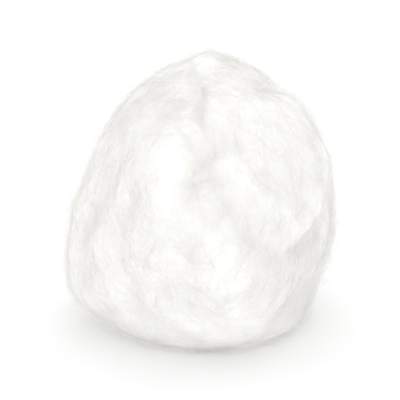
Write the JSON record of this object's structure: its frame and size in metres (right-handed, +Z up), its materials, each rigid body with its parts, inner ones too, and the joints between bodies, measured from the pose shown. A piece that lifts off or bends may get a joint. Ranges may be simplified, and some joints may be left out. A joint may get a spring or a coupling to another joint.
{
  "type": "cotton ball",
  "caption": "Soft white cotton ball: a strip of carded cotton rolled into a slightly egg-shaped wad with one overlapping lip and puckered ends.",
  "frame": {"origin": "centre of the ball's footprint box, on the flat spot that it rests on", "axes": "+Z up from the flat spot through the crown, -Y towards the viewer, where the front dimple of the roll is, +X to the viewer's right"},
  "size_m": [0.036, 0.0348, 0.0368],
  "materials": {
    "cotton": "dull white carded cotton with loose fibres"
  },
  "bodies": {
    "root": {"cotton_ball": "cotton"}
  },
  "joints": []
}
